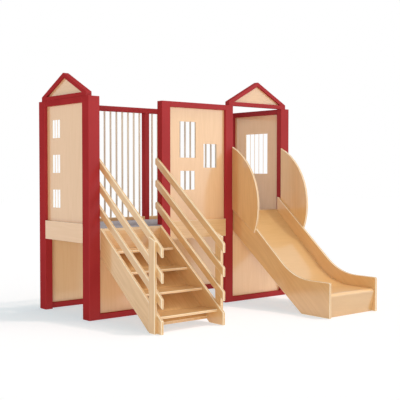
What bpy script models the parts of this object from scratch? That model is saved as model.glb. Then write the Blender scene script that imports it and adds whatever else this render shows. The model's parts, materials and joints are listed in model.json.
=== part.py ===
"""Play castle for indoors: a raised deck in a red timber frame, with wall panels, two gables, a stair
and a slide.

Units are metres. X runs along the front to the right, Y runs to the back, Z is up.
Sizes are set out from the outer face of the left wall, the front plane of the posts and the floor;
an empty then moves the whole to the centre of its footprint.
"""

from math import atan2, ceil, cos, floor, hypot, pi, sin, sqrt, tan

import bmesh
import bpy
from mathutils import Matrix, Vector

# Overall sizes
CASTLE_LENGTH = 2.767
CASTLE_DEPTH = 0.992
POST_HEIGHT = 2.200
DECK_HEIGHT = 0.905
GAP = 0.0003

# Posts: width along X, depth along Y, and the left face of those along the walls
CORNER_POST_WIDTH = 0.127
CORNER_POST_DEPTH = 0.122
REAR_LEFT_POST_WIDTH = 0.083
REAR_POST_DEPTH = 0.124
MID_POST_X = 0.890
MID_POST_WIDTH = 0.109
TOWER_LEFT_POST_X = 1.773
TOWER_LEFT_POST_WIDTH = 0.108
TOWER_RIGHT_POST_WIDTH = 0.126
TOWER_RIGHT_POST_DEPTH = 0.073
REAR_RIGHT_POST_WIDTH = 0.100
REAR_MID_POST_X = 1.336
REAR_MID_POST_WIDTH = 0.065

# Walls: rails are flush with the posts, panels stand back from their faces in grooves
FRONT_WALL_THICKNESS = 0.084
BACK_WALL_THICKNESS = 0.0645
RAIL_HEIGHT = 0.057
PANEL_THICKNESS = 0.009
PANEL_RECESS = 0.032
GROOVE_DEPTH = 0.010

# Deck
CARPET_THICKNESS = 0.006
DECK_BOARD_THICKNESS = 0.021
JOIST_WIDTH = 0.045
JOIST_HEIGHT = 0.095
JOIST_COUNT = 2

# Fascia boards at the deck's edge
SIDE_FASCIA_ABOVE_DECK = 0.043
SIDE_FASCIA_HEIGHT = 0.193
MID_FASCIA_ABOVE_DECK = 0.035
MID_FASCIA_HEIGHT = 0.192
FASCIA_BACKING = 0.030

# Gables on the left wall and on the tower
GABLE_INSET = 0.054
GABLE_SETBACK = 0.006
GABLE_THICKNESS = 0.065
GABLE_EAVE_HEIGHT = 0.045
GABLE_BASE_HEIGHT = 0.042
RAFTER_HEIGHT = 0.045
LEFT_GABLE_RISE = 0.265
TOWER_GABLE_RISE = 0.284

# Windows: openings, those of the side walls with thin upright bars
WINDOW_BAR_DIAMETER = 0.006
WINDOW_TOP_DROP = 0.146
LEFT_WINDOW_MARGIN = 0.100
LEFT_WINDOW_WIDTH = 0.162
LEFT_WINDOW_HEIGHT = 0.187
LEFT_WINDOW_PITCH = 0.361
LEFT_WINDOW_COUNT = 3
MID_WINDOW_MARGIN = 0.147
MID_WINDOW_WIDTH = 0.223
TALL_WINDOW_HEIGHT = 0.385
LOW_WINDOW_WIDTH = 0.199
LOW_WINDOW_HEIGHT = 0.202
LOW_WINDOW_DROP = 0.141
RIGHT_WINDOW_MARGIN = 0.108
RIGHT_WINDOW_WIDTH = 0.186
RIGHT_WINDOW_HEIGHT = 0.258
RIGHT_WINDOW_DROP = 0.232
END_WINDOW_MARGIN = 0.217
END_WINDOW_WIDTH = 0.380
END_WINDOW_HEIGHT = 0.484
END_WINDOW_DROP = 0.074
LEFT_WINDOW_BAR_COUNT = 2
END_WINDOW_BAR_COUNT = 4

# Balustrade along the back
SPINDLE_DIAMETER = 0.022
LEFT_SPINDLE_PITCH = 0.0796
LEFT_SPINDLE_INSET = 0.055
RIGHT_SPINDLE_PITCH = 0.0824
RIGHT_SPINDLE_INSET = 0.062
LEFT_SPINDLE_END_ROOM = 0.100
RIGHT_SPINDLE_END_ROOM = 0.040
SPINDLE_SEAT = 0.012
BALUSTRADE_RAIL_TOP = 0.038
BALUSTRADE_RAIL_HEIGHT = 0.062

# Stair
STEP_COUNT = 4
STEP_GOING = 0.2305
STEP_RISE = 0.180
TOP_RISE = 0.2165
TREAD_DEPTH = 0.228
TREAD_THICKNESS = 0.0225
STAIR_BOARD_THICKNESS = 0.029
STRINGER_COVER = 0.0365
STRINGER_DEPTH = 0.224
STRINGER_TOE = 0.078
STAIR_FIT = 0.0005
STAIR_MID_FIT = 0.003
SOFFIT_THICKNESS = 0.021
SOFFIT_FLOOR_HEIGHT = 0.037
HEADER_THICKNESS = 0.028
NEWEL_THICKNESS = 0.030
NEWEL_WIDTH = 0.090
NEWEL_TOE = 0.063
NEWEL_TOP_DROP = 0.025
NEWEL_TOP_FALL = 0.035
HANDRAIL_COUNT = 3
HANDRAIL_CLEARANCE = 0.200
HANDRAIL_PITCH = 0.2295
HANDRAIL_DEPTH = 0.0725
HANDRAIL_TOE = 0.003
HANDRAIL_ROUNDING = 0.022

# Slide
SLIDE_REACH = 1.425
SLIDE_FIT = 0.0095
SIDE_THICKNESS = 0.0265
SIDE_TOP_ABOVE_DECK = 0.245
SIDE_TOE_HEIGHT = 0.358
SIDE_TOE_LENGTH = 0.4932
SIDE_BEND_RADIUS = 0.600
SIDE_CORNER_RADIUS = 0.020
SIDE_UNDER_BELOW_DECK = 0.115
SIDE_FOOT_LENGTH = 0.385
SIDE_TAIL_GAP = 0.002
BED_THICKNESS = 0.018
BED_HEAD_ABOVE_DECK = 0.115
BED_TOE_HEIGHT = 0.240
BED_TOE_LENGTH = 0.5736
BED_BEND_RADIUS = 0.690
BED_LIP_RADIUS = 0.035
BED_LIP_SETBACK = 0.010
APRON_SETBACK = 0.052
SILL_THICKNESS = 0.030
SILL_LAP = 0.070
WING_THICKNESS = 0.025
WING_TOP_ABOVE_DECK = 0.835
WING_RADIUS = 0.715
WING_REACH = 0.360
WING_TIP_BELOW_DECK = 0.110
WING_LAP_AT_POST = 0.110

# Colours in linear light
RED = (0.445, 0.030, 0.038)
BIRCH = (0.792, 0.540, 0.300)
BEECH = (0.690, 0.418, 0.178)
CARPET = (0.300, 0.290, 0.300)

ARC_STEP = pi / 24
ROUND_SIDES = 12
NOTCH_OVERRUN = 0.1


def clear_scene():
    for old in list(bpy.data.objects):
        bpy.data.objects.remove(old)


def new_collection(name):
    collection = bpy.data.collections.new(name)
    bpy.context.scene.collection.children.link(collection)
    return collection


def new_material(name, colour, roughness):
    material = bpy.data.materials.new(name)
    material.use_nodes = True
    surface = material.node_tree.nodes["Principled BSDF"]
    surface.inputs["Base Color"].default_value = (*colour, 1.0)
    surface.inputs["Roughness"].default_value = roughness
    surface.inputs["Metallic"].default_value = 0.0
    return material


clear_scene()
CASTLE = new_collection("play_castle")
CUTTERS = new_collection("cutters")
PAINTED = new_material("red_paint", RED, 0.42)
PANEL_WOOD = new_material("birch_panel", BIRCH, 0.50)
BOARD_WOOD = new_material("beech_board", BEECH, 0.45)
CARPET_PILE = new_material("carpet", CARPET, 0.95)

ORIGIN = bpy.data.objects.new("castle_origin", None)
ORIGIN.location = (-CASTLE_LENGTH / 2, (SLIDE_REACH - CASTLE_DEPTH) / 2, 0)
CASTLE.objects.link(ORIGIN)

# Places that several pieces share
BAY_LEFT = CORNER_POST_WIDTH
MID_BAY_LEFT = MID_POST_X + MID_POST_WIDTH
TOWER_LEFT = TOWER_LEFT_POST_X + TOWER_LEFT_POST_WIDTH
TOWER_RIGHT = CASTLE_LENGTH - TOWER_RIGHT_POST_WIDTH
END_WALL_INNER = CASTLE_LENGTH - REAR_RIGHT_POST_WIDTH
REAR_POST_FRONT = CASTLE_DEPTH - REAR_POST_DEPTH
BACK_WALL_FRONT = CASTLE_DEPTH - BACK_WALL_THICKNESS
PANEL_BACK = PANEL_RECESS + PANEL_THICKNESS
RAIL_UNDERSIDE = POST_HEIGHT - RAIL_HEIGHT
DECK_BOARD_TOP = DECK_HEIGHT - CARPET_THICKNESS
DECK_UNDERSIDE = DECK_BOARD_TOP - DECK_BOARD_THICKNESS
FASCIA_THICKNESS = PANEL_RECESS - GAP
SIDE_FASCIA_TOP = DECK_HEIGHT + SIDE_FASCIA_ABOVE_DECK
MID_FASCIA_TOP = DECK_HEIGHT + MID_FASCIA_ABOVE_DECK
END_PANEL_FACE = END_WALL_INNER + PANEL_RECESS
STAIR_SLOPE = STEP_RISE / STEP_GOING
TOP_TREAD = DECK_HEIGHT - TOP_RISE
STRINGER_LINE = TOP_TREAD + STRINGER_COVER + STEP_RISE
BED_HEAD = DECK_HEIGHT + BED_HEAD_ABOVE_DECK
SIDE_TOP = DECK_HEIGHT + SIDE_TOP_ABOVE_DECK


def add(name, data, material, location=(0, 0, 0), rotation=(0, 0, 0), collection=None):
    """An object of the castle, or a tool for a Boolean when it goes in the cutters."""
    piece = bpy.data.objects.new(name, data)
    (collection or CASTLE).objects.link(piece)
    piece.parent = ORIGIN
    piece.location = location
    piece.rotation_euler = rotation
    if material:
        data.materials.append(material)
    if collection:
        piece.hide_render = True
        piece.display_type = "WIRE"
    return piece


def box(name, x, y, z, material, collection=None):
    """A box between two values on each axis."""
    low = Vector((x[0], y[0], z[0]))
    high = Vector((x[1], y[1], z[1]))
    shape = bmesh.new()
    bmesh.ops.create_cube(shape, size=1, matrix=Matrix.Diagonal((*(high - low), 1)))
    mesh = bpy.data.meshes.new(name)
    shape.to_mesh(mesh)
    shape.free()
    return add(name, mesh, material, (low + high) / 2, collection=collection)


def between(start, end):
    """A span that keeps the gap to what it touches at both ends."""
    return (start + GAP, end - GAP)


def rounded(corners):
    """The points of an outline whose corners (a, b, radius) are rounded with arcs."""
    points = []
    for index, (a, b, radius) in enumerate(corners):
        here = Vector((a, b))
        before = Vector(corners[index - 1][:2]) - here
        after = Vector(corners[(index + 1) % len(corners)][:2]) - here
        if radius <= 0:
            points.append((a, b))
            continue
        half = before.angle(after) / 2
        reach = radius / tan(half)
        middle = here + (before.normalized() + after.normalized()).normalized() * radius / sin(half)
        start = here + before.normalized() * reach - middle
        end = here + after.normalized() * reach - middle
        sweep = start.angle_signed(end)
        steps = max(2, ceil(abs(sweep) / ARC_STEP))
        for step in range(steps + 1):
            turn = -sweep * step / steps
            points.append(tuple(middle + Matrix.Rotation(turn, 2) @ start))
    return points


def board(name, outline, plane, start, thickness, material):
    """A flat board: its outline lies in the plane XZ, YZ or XY and it is this thick from start on."""
    curve = bpy.data.curves.new(name, "CURVE")
    curve.dimensions = "2D"
    curve.fill_mode = "BOTH"
    curve.extrude = thickness / 2
    line = curve.splines.new("POLY")
    line.points.add(len(outline) - 1)
    for point, (a, b) in zip(line.points, outline):
        point.co = (a, b, 0, 1)
    line.use_cyclic_u = True
    middle = start + thickness / 2
    location = {"XZ": (0, middle, 0), "YZ": (middle, 0, 0), "XY": (0, 0, middle)}[plane]
    rotation = {"XZ": (pi / 2, 0, 0), "YZ": (pi / 2, 0, pi / 2), "XY": (0, 0, 0)}[plane]
    return add(name, curve, material, location, rotation)


def as_mesh(piece):
    """The same board as a mesh, so that it can be cut."""
    bpy.context.view_layer.update()
    evaluated = piece.evaluated_get(bpy.context.evaluated_depsgraph_get())
    mesh = bpy.data.meshes.new_from_object(evaluated)
    shape = bmesh.new()
    shape.from_mesh(mesh)
    bmesh.ops.remove_doubles(shape, verts=shape.verts, dist=0.00001)
    shape.to_mesh(mesh)
    shape.free()
    name = piece.name
    place = piece.matrix_world.copy()
    bpy.data.objects.remove(piece)
    solid = bpy.data.objects.new(name, mesh)
    CASTLE.objects.link(solid)
    solid.parent = ORIGIN
    solid.matrix_world = place
    return solid


def combine(piece, tool, operation):
    change = piece.modifiers.new(tool.name, "BOOLEAN")
    change.operation = operation
    change.object = tool


def cut_box(piece, name, x, y, z):
    """Takes a box out of the piece, wider than what fills it by the gap on each side."""
    wider = [(low - GAP, high + GAP) for low, high in (x, y, z)]
    combine(piece, box(name, *wider, None, CUTTERS), "DIFFERENCE")


def rods(name, places, bottom, top, diameter):
    """Upright round rods in one tool, one at each (x, y)."""
    shape = bmesh.new()
    for x, y in places:
        bmesh.ops.create_cone(
            shape,
            cap_ends=True,
            segments=ROUND_SIDES,
            radius1=diameter / 2,
            radius2=diameter / 2,
            depth=top - bottom,
            matrix=Matrix.Translation((x, y, (bottom + top) / 2)),
        )
    mesh = bpy.data.meshes.new(name)
    shape.to_mesh(mesh)
    shape.free()
    return add(name, mesh, None, collection=CUTTERS)


def post(name, x, width, y, depth, height=POST_HEIGHT):
    return box(name, (x, x + width), (y, y + depth), (0, height), PAINTED)


def make_posts():
    """Every upright of the frame, by name."""
    rear_mid_height = POST_HEIGHT - RAIL_HEIGHT - GAP
    return {
        "corner": post("post_front_left", 0, CORNER_POST_WIDTH, 0, CORNER_POST_DEPTH),
        "rear_left": post("post_rear_left", 0, REAR_LEFT_POST_WIDTH, REAR_POST_FRONT, REAR_POST_DEPTH),
        "mid": post("post_front_mid", MID_POST_X, MID_POST_WIDTH, 0, FRONT_WALL_THICKNESS),
        "tower_left": post(
            "post_tower_left", TOWER_LEFT_POST_X, TOWER_LEFT_POST_WIDTH, 0, FRONT_WALL_THICKNESS
        ),
        "tower_right": post(
            "post_tower_right", TOWER_RIGHT, TOWER_RIGHT_POST_WIDTH, 0, TOWER_RIGHT_POST_DEPTH
        ),
        "rear_right": post(
            "post_rear_right", END_WALL_INNER, REAR_RIGHT_POST_WIDTH, REAR_POST_FRONT, REAR_POST_DEPTH
        ),
        "rear_mid": post(
            "post_rear_mid",
            REAR_MID_POST_X,
            REAR_MID_POST_WIDTH,
            BACK_WALL_FRONT,
            BACK_WALL_THICKNESS,
            rear_mid_height,
        ),
    }


def panel(name, x, y, z, holders, material=PANEL_WOOD):
    """A wall panel between its holders, with its edges let into their grooves."""
    made = box(name, x, y, z, material)
    for holder in holders:
        cut_box(holder, f"{name}_in_{holder.name}", x, y, z)
    return made


def grooved(start, end):
    """The span of a panel whose two ends are let into grooves."""
    return (start - GROOVE_DEPTH, end + GROOVE_DEPTH)


def opening(wall_panel, name, x, y, bottom, height):
    """Cuts a window in a wall panel."""
    tool = box(f"{name}_opening", x, y, (bottom, bottom + height), None, CUTTERS)
    combine(wall_panel, tool, "DIFFERENCE")


def front_window(wall_panel, name, centre, width, bottom, height):
    """A plain window in the panel of the front wall."""
    x = (centre - width / 2, centre + width / 2)
    through = (PANEL_RECESS - PANEL_THICKNESS, PANEL_BACK + PANEL_THICKNESS)
    opening(wall_panel, name, x, through, bottom, height)


def side_window(wall_panel, name, face, start, width, bottom, height, bars):
    """A window in the panel of a side wall, with upright bars spread evenly over its width."""
    through = (face - PANEL_THICKNESS, face + 2 * PANEL_THICKNESS)
    opening(wall_panel, name, through, (start, start + width), bottom, height)
    middle = face + PANEL_THICKNESS / 2
    places = [(middle, start + width * (bar + 1) / (bars + 1)) for bar in range(bars)]
    seat = WINDOW_BAR_DIAMETER / 2
    tool = rods(f"{name}_bars", places, bottom - seat, bottom + height + seat, WINDOW_BAR_DIAMETER)
    combine(wall_panel, tool, "UNION")


def gable(name, plane, start, end, face, rise):
    """A mitred triangle frame on the post tops, with its infill let into a groove all round."""
    low = POST_HEIGHT + GAP
    eave = POST_HEIGHT + GABLE_EAVE_HEIGHT
    apex = POST_HEIGHT + rise
    left = start + GABLE_INSET
    right = end - GABLE_INSET
    middle = (left + right) / 2
    slope = (apex - eave) / (right - middle)
    base = POST_HEIGHT + GABLE_BASE_HEIGHT
    inner_apex = apex - RAFTER_HEIGHT
    outer = [(left, low), (right, low), (right, eave), (middle, apex), (left, eave)]

    def triangle(grow):
        """The opening in the frame, made larger by this much all round."""
        top = inner_apex + grow * hypot(1, slope)
        bottom = base - grow
        half = (top - bottom) / slope
        return [(middle - half, bottom), (middle + half, bottom), (middle, top)]

    frame = as_mesh(board(f"{name}_frame", outer, plane, face, GABLE_THICKNESS, PAINTED))
    infill_face = face + (GABLE_THICKNESS - PANEL_THICKNESS) / 2
    cuts = (
        ("opening", triangle(0), face, GABLE_THICKNESS),
        ("groove", triangle(GROOVE_DEPTH), infill_face, PANEL_THICKNESS),
    )
    for cut, outline, start_face, thickness in cuts:
        tool = as_mesh(board(f"{name}_{cut}", outline, plane, start_face - GAP, thickness + 2 * GAP, None))
        CASTLE.objects.unlink(tool)
        CUTTERS.objects.link(tool)
        tool.hide_render = True
        tool.display_type = "WIRE"
        combine(frame, tool, "DIFFERENCE")
    infill = triangle(GROOVE_DEPTH - GAP)
    board(f"{name}_infill", infill, plane, infill_face, PANEL_THICKNESS, PANEL_WOOD)


def make_left_wall(posts):
    """Window panel, top rail and fascia between the corner post and the rear left post."""
    y = (CORNER_POST_DEPTH, REAR_POST_FRONT)
    rail_z = (RAIL_UNDERSIDE, POST_HEIGHT)
    top_rail = box("left_top_rail", (0, REAR_LEFT_POST_WIDTH), between(*y), rail_z, PAINTED)
    fascia_z = (SIDE_FASCIA_TOP - SIDE_FASCIA_HEIGHT, SIDE_FASCIA_TOP)
    box("left_fascia", (0, FASCIA_THICKNESS), between(*y), fascia_z, BOARD_WOOD)
    bottom = fascia_z[0] + FASCIA_BACKING
    wall = panel(
        "left_window_panel",
        (PANEL_RECESS, PANEL_BACK),
        grooved(*y),
        (bottom, RAIL_UNDERSIDE + GROOVE_DEPTH),
        [posts["corner"], posts["rear_left"], top_rail],
    )
    for row in range(LEFT_WINDOW_COUNT):
        side_window(
            wall,
            f"left_window_{row + 1}",
            PANEL_RECESS,
            REAR_POST_FRONT - LEFT_WINDOW_MARGIN - LEFT_WINDOW_WIDTH,
            LEFT_WINDOW_WIDTH,
            RAIL_UNDERSIDE - WINDOW_TOP_DROP - LEFT_WINDOW_HEIGHT - row * LEFT_WINDOW_PITCH,
            LEFT_WINDOW_HEIGHT,
            LEFT_WINDOW_BAR_COUNT,
        )
    gable("left_gable", "YZ", 0, CASTLE_DEPTH, GABLE_SETBACK, LEFT_GABLE_RISE)


def make_mid_wall(posts):
    """The panel with three windows between the middle post and the tower."""
    x = (MID_BAY_LEFT, TOWER_LEFT_POST_X)
    rail_z = (RAIL_UNDERSIDE, POST_HEIGHT)
    top_rail = box("mid_top_rail", between(*x), (0, FRONT_WALL_THICKNESS), rail_z, PAINTED)
    fascia_z = (MID_FASCIA_TOP - MID_FASCIA_HEIGHT, MID_FASCIA_TOP)
    box("mid_fascia", between(*x), (0, FASCIA_THICKNESS), fascia_z, BOARD_WOOD)
    wall = panel(
        "mid_window_panel",
        grooved(*x),
        (PANEL_RECESS, PANEL_BACK),
        (fascia_z[0] + FASCIA_BACKING, RAIL_UNDERSIDE + GROOVE_DEPTH),
        [posts["mid"], posts["tower_left"], top_rail],
    )
    top = RAIL_UNDERSIDE - WINDOW_TOP_DROP
    left = MID_BAY_LEFT + MID_WINDOW_MARGIN + MID_WINDOW_WIDTH / 2
    right = TOWER_LEFT_POST_X - RIGHT_WINDOW_MARGIN - RIGHT_WINDOW_WIDTH / 2
    tall = top - TALL_WINDOW_HEIGHT
    low = tall - LOW_WINDOW_DROP - LOW_WINDOW_HEIGHT
    side = top - RIGHT_WINDOW_DROP - RIGHT_WINDOW_HEIGHT
    front_window(wall, "mid_window_tall", left, MID_WINDOW_WIDTH, tall, TALL_WINDOW_HEIGHT)
    front_window(wall, "mid_window_low", left, LOW_WINDOW_WIDTH, low, LOW_WINDOW_HEIGHT)
    front_window(wall, "mid_window_right", right, RIGHT_WINDOW_WIDTH, side, RIGHT_WINDOW_HEIGHT)


def make_lower_wall(name, x, holders, top):
    """A low front panel on a bottom rail between two posts."""
    rail = box(f"{name}_bottom_rail", between(*x), (0, FRONT_WALL_THICKNESS), (0, RAIL_HEIGHT), PAINTED)
    panel(
        f"{name}_lower_panel",
        grooved(*x),
        (PANEL_RECESS, PANEL_BACK),
        (RAIL_HEIGHT - GROOVE_DEPTH, top),
        [*holders, rail],
    )


def make_stair_bay(posts):
    """The closed front below the stair's top, and the riser board under the deck's edge."""
    x = (BAY_LEFT, MID_POST_X)
    make_lower_wall("stair_bay", x, [posts["corner"], posts["mid"]], DECK_UNDERSIDE - GAP)
    riser_z = (TOP_TREAD + GAP, DECK_UNDERSIDE - GAP)
    box("stair_top_riser", between(*x), (0, HEADER_THICKNESS), riser_z, BOARD_WOOD)


def make_tower(posts):
    """The front of the tower below and above the slide."""
    x = (TOWER_LEFT, TOWER_RIGHT)
    make_lower_wall("tower", x, [posts["tower_left"], posts["tower_right"]], BED_HEAD - SILL_LAP)
    gable("tower_gable", "XZ", TOWER_LEFT_POST_X, CASTLE_LENGTH, GABLE_SETBACK, TOWER_GABLE_RISE)
    sill_front = PANEL_BACK + GAP
    box(
        "slide_sill",
        between(*x),
        (sill_front, sill_front + SILL_THICKNESS),
        (DECK_HEIGHT + GAP, BED_HEAD),
        BOARD_WOOD,
    )


def make_end_wall(posts):
    """The tower's right wall: a panel with one large barred window over a fascia."""
    y = (TOWER_RIGHT_POST_DEPTH, REAR_POST_FRONT)
    x = (END_WALL_INNER, CASTLE_LENGTH)
    top_rail = box("end_top_rail", x, between(*y), (RAIL_UNDERSIDE, POST_HEIGHT), PAINTED)
    fascia_z = (SIDE_FASCIA_TOP - SIDE_FASCIA_HEIGHT, SIDE_FASCIA_TOP)
    box("end_fascia", (CASTLE_LENGTH - FASCIA_THICKNESS, CASTLE_LENGTH), between(*y), fascia_z, BOARD_WOOD)
    wall = panel(
        "end_window_panel",
        (END_PANEL_FACE, END_PANEL_FACE + PANEL_THICKNESS),
        grooved(*y),
        (fascia_z[0] + FASCIA_BACKING, RAIL_UNDERSIDE + GROOVE_DEPTH),
        [posts["tower_right"], posts["rear_right"], top_rail],
    )
    side_window(
        wall,
        "end_window",
        END_PANEL_FACE,
        y[0] + END_WINDOW_MARGIN,
        END_WINDOW_WIDTH,
        RAIL_UNDERSIDE - WINDOW_TOP_DROP - END_WINDOW_DROP - END_WINDOW_HEIGHT,
        END_WINDOW_HEIGHT,
        END_WINDOW_BAR_COUNT,
    )


def balustrade(name, x, first, step, inset, end_room):
    """Spindles on a wooden rail, set out from the middle post, with this room left at the bay's end."""
    y = (BACK_WALL_FRONT, CASTLE_DEPTH)
    rail_top = DECK_HEIGHT + BALUSTRADE_RAIL_TOP
    rail = box(name, between(*x), y, (rail_top - BALUSTRADE_RAIL_HEIGHT, rail_top), BOARD_WOOD)
    count = floor((x[1] - x[0] - inset - end_room) / abs(step)) + 1
    places = [(first + step * index, (y[0] + y[1]) / 2) for index in range(count)]
    foot = rail_top - SPINDLE_SEAT
    spindles = rods(f"{name}_spindles", places, foot, RAIL_UNDERSIDE - GAP, SPINDLE_DIAMETER)
    combine(rail, spindles, "UNION")


def make_back_wall(posts):
    """Two bays, each with a low panel under a balustrade, below one long top rail."""
    left = (REAR_LEFT_POST_WIDTH, REAR_MID_POST_X)
    right = (REAR_MID_POST_X + REAR_MID_POST_WIDTH, END_WALL_INNER)
    y = (BACK_WALL_FRONT, CASTLE_DEPTH)
    box("back_top_rail", between(left[0], right[1]), y, (RAIL_UNDERSIDE, POST_HEIGHT), PAINTED)
    first = left[1] - LEFT_SPINDLE_INSET
    balustrade(
        "balustrade_left", left, first, -LEFT_SPINDLE_PITCH, LEFT_SPINDLE_INSET, LEFT_SPINDLE_END_ROOM
    )
    first = right[0] + RIGHT_SPINDLE_INSET
    balustrade(
        "balustrade_right", right, first, RIGHT_SPINDLE_PITCH, RIGHT_SPINDLE_INSET, RIGHT_SPINDLE_END_ROOM
    )
    panel_face = (y[0] + y[1] - PANEL_THICKNESS) / 2
    panel_top = DECK_HEIGHT + BALUSTRADE_RAIL_TOP - BALUSTRADE_RAIL_HEIGHT - GAP
    bays = (("left", left, posts["rear_left"]), ("right", right, posts["rear_right"]))
    for side, x, end_post in bays:
        rail = box(f"back_{side}_bottom_rail", between(*x), y, (0, RAIL_HEIGHT), PAINTED)
        panel(
            f"back_{side}_panel",
            grooved(*x),
            (panel_face, panel_face + PANEL_THICKNESS),
            (RAIL_HEIGHT - GROOVE_DEPTH, panel_top),
            [end_post, posts["rear_mid"], rail],
        )


def deck_layer(name, bottom, top, material):
    """A sheet as large as the deck, notched round the posts and the front panels."""
    x = between(PANEL_BACK, END_PANEL_FACE)
    sheet = box(name, x, (0, BACK_WALL_FRONT - GAP), (bottom, top), material)
    z = (bottom - DECK_BOARD_THICKNESS, top + DECK_BOARD_THICKNESS)
    before = -NOTCH_OVERRUN
    beyond = CASTLE_LENGTH + NOTCH_OVERRUN
    notches = {
        "corner_post": ((before, CORNER_POST_WIDTH), (before, CORNER_POST_DEPTH)),
        "mid_post": ((MID_POST_X, MID_BAY_LEFT), (before, FRONT_WALL_THICKNESS)),
        "front_panels": ((MID_BAY_LEFT - GROOVE_DEPTH, beyond), (before, PANEL_BACK)),
        "tower_left_post": ((TOWER_LEFT_POST_X, TOWER_LEFT), (before, FRONT_WALL_THICKNESS)),
        "tower_right_post": ((TOWER_RIGHT, beyond), (before, TOWER_RIGHT_POST_DEPTH)),
        "rear_left_post": ((before, REAR_LEFT_POST_WIDTH), (REAR_POST_FRONT, CASTLE_DEPTH)),
        "rear_right_post": ((END_WALL_INNER, beyond), (REAR_POST_FRONT, CASTLE_DEPTH)),
    }
    for place, (across, along) in notches.items():
        cut_box(sheet, f"{name}_{place}", across, along, z)


def make_deck():
    """Carpet and plywood on two bearers and the joists between them."""
    deck_layer("deck_carpet", DECK_BOARD_TOP + GAP, DECK_HEIGHT, CARPET_PILE)
    deck_layer("deck_board", DECK_UNDERSIDE, DECK_BOARD_TOP, BOARD_WOOD)
    z = (DECK_UNDERSIDE - JOIST_HEIGHT, DECK_UNDERSIDE - GAP)
    front = (FRONT_WALL_THICKNESS + GAP, FRONT_WALL_THICKNESS + GAP + JOIST_WIDTH)
    back = (BACK_WALL_FRONT - GAP - JOIST_WIDTH, BACK_WALL_FRONT - GAP)
    box("deck_bearer_front", between(CORNER_POST_WIDTH, END_WALL_INNER), front, z, BOARD_WOOD)
    box("deck_bearer_back", between(REAR_LEFT_POST_WIDTH, END_WALL_INNER), back, z, BOARD_WOOD)
    for index in range(JOIST_COUNT):
        middle = CASTLE_LENGTH * (index + 1) / (JOIST_COUNT + 1)
        x = (middle - JOIST_WIDTH / 2, middle + JOIST_WIDTH / 2)
        box(f"deck_joist_{index + 1}", x, between(front[1], back[0]), z, BOARD_WOOD)


def nose(step):
    """Front edge of a tread, counted from 1 at the bottom."""
    return -(STEP_COUNT - step + 1) * STEP_GOING


def stringer_top(y):
    return STRINGER_LINE + STAIR_SLOPE * y


def make_stair():
    """Two stringers with treads and a sloping board behind them, newels and handrails."""
    upright = hypot(1, STAIR_SLOPE)
    left = BAY_LEFT + STAIR_FIT
    right = MID_POST_X - STAIR_MID_FIT - STAIR_BOARD_THICKNESS
    inside = between(left + STAIR_BOARD_THICKNESS, right)
    toe = nose(1) - STRINGER_TOE
    drop = STRINGER_DEPTH * upright
    stringer = [
        (-GAP, stringer_top(0) - drop),
        (-GAP, stringer_top(-GAP)),
        (toe, stringer_top(toe)),
        (toe, 0),
        ((drop - STRINGER_LINE) / STAIR_SLOPE, 0),
    ]
    for side, x in (("left", left), ("right", right)):
        board(f"stair_stringer_{side}", stringer, "YZ", x, STAIR_BOARD_THICKNESS, BOARD_WOOD)
        make_handrails(side, x, toe)
        outer = x - NEWEL_THICKNESS - GAP if side == "left" else x + STAIR_BOARD_THICKNESS + GAP
        make_newel(side, outer, toe)
    for step in range(1, STEP_COUNT + 1):
        top = TOP_TREAD - (STEP_COUNT - step) * STEP_RISE
        y = (nose(step), nose(step) + TREAD_DEPTH)
        box(f"stair_tread_{step}", inside, y, (top - TREAD_THICKNESS, top), BOARD_WOOD)
    corner = nose(STEP_COUNT) + TREAD_DEPTH
    line = TOP_TREAD - TREAD_THICKNESS - 2 * GAP - STAIR_SLOPE * corner
    under = line - SOFFIT_THICKNESS * upright
    foot = (SOFFIT_FLOOR_HEIGHT - under) / STAIR_SLOPE
    soffit = [
        (-GAP, under - STAIR_SLOPE * GAP),
        (-GAP, line - STAIR_SLOPE * GAP),
        (foot, line + STAIR_SLOPE * foot),
        (foot, SOFFIT_FLOOR_HEIGHT),
    ]
    board("stair_backing_board", soffit, "YZ", inside[0], inside[1] - inside[0], BOARD_WOOD)


def handrail_top(rail, y):
    """Top edge of a handrail, counted from 1 at the bottom."""
    return stringer_top(y) + HANDRAIL_CLEARANCE + (rail - 1) * HANDRAIL_PITCH


def make_handrails(side, x, toe):
    """Sloping rails from the posts of the bay past the newel."""
    drop = HANDRAIL_DEPTH * hypot(1, STAIR_SLOPE)
    front = toe - HANDRAIL_TOE
    back = FRONT_WALL_THICKNESS
    for rail in range(1, HANDRAIL_COUNT + 1):
        outline = rounded(
            [
                (back, handrail_top(rail, back) - drop, 0),
                (back, handrail_top(rail, back), HANDRAIL_ROUNDING),
                (front, handrail_top(rail, front), HANDRAIL_ROUNDING),
                (front, handrail_top(rail, front) - drop, 0),
            ]
        )
        board(f"stair_handrail_{side}_{rail}", outline, "YZ", x, STAIR_BOARD_THICKNESS, BOARD_WOOD)


def make_newel(side, x, toe):
    """An upright on the outer side of the stringer that carries the handrails' front ends."""
    front = toe + NEWEL_TOE
    back = front + NEWEL_WIDTH
    top = handrail_top(HANDRAIL_COUNT, back) - NEWEL_TOP_DROP
    outline = [(front, 0), (back, 0), (back, top), (front, top - NEWEL_TOP_FALL)]
    board(f"stair_newel_{side}", outline, "YZ", x, NEWEL_THICKNESS, BOARD_WOOD)


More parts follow.
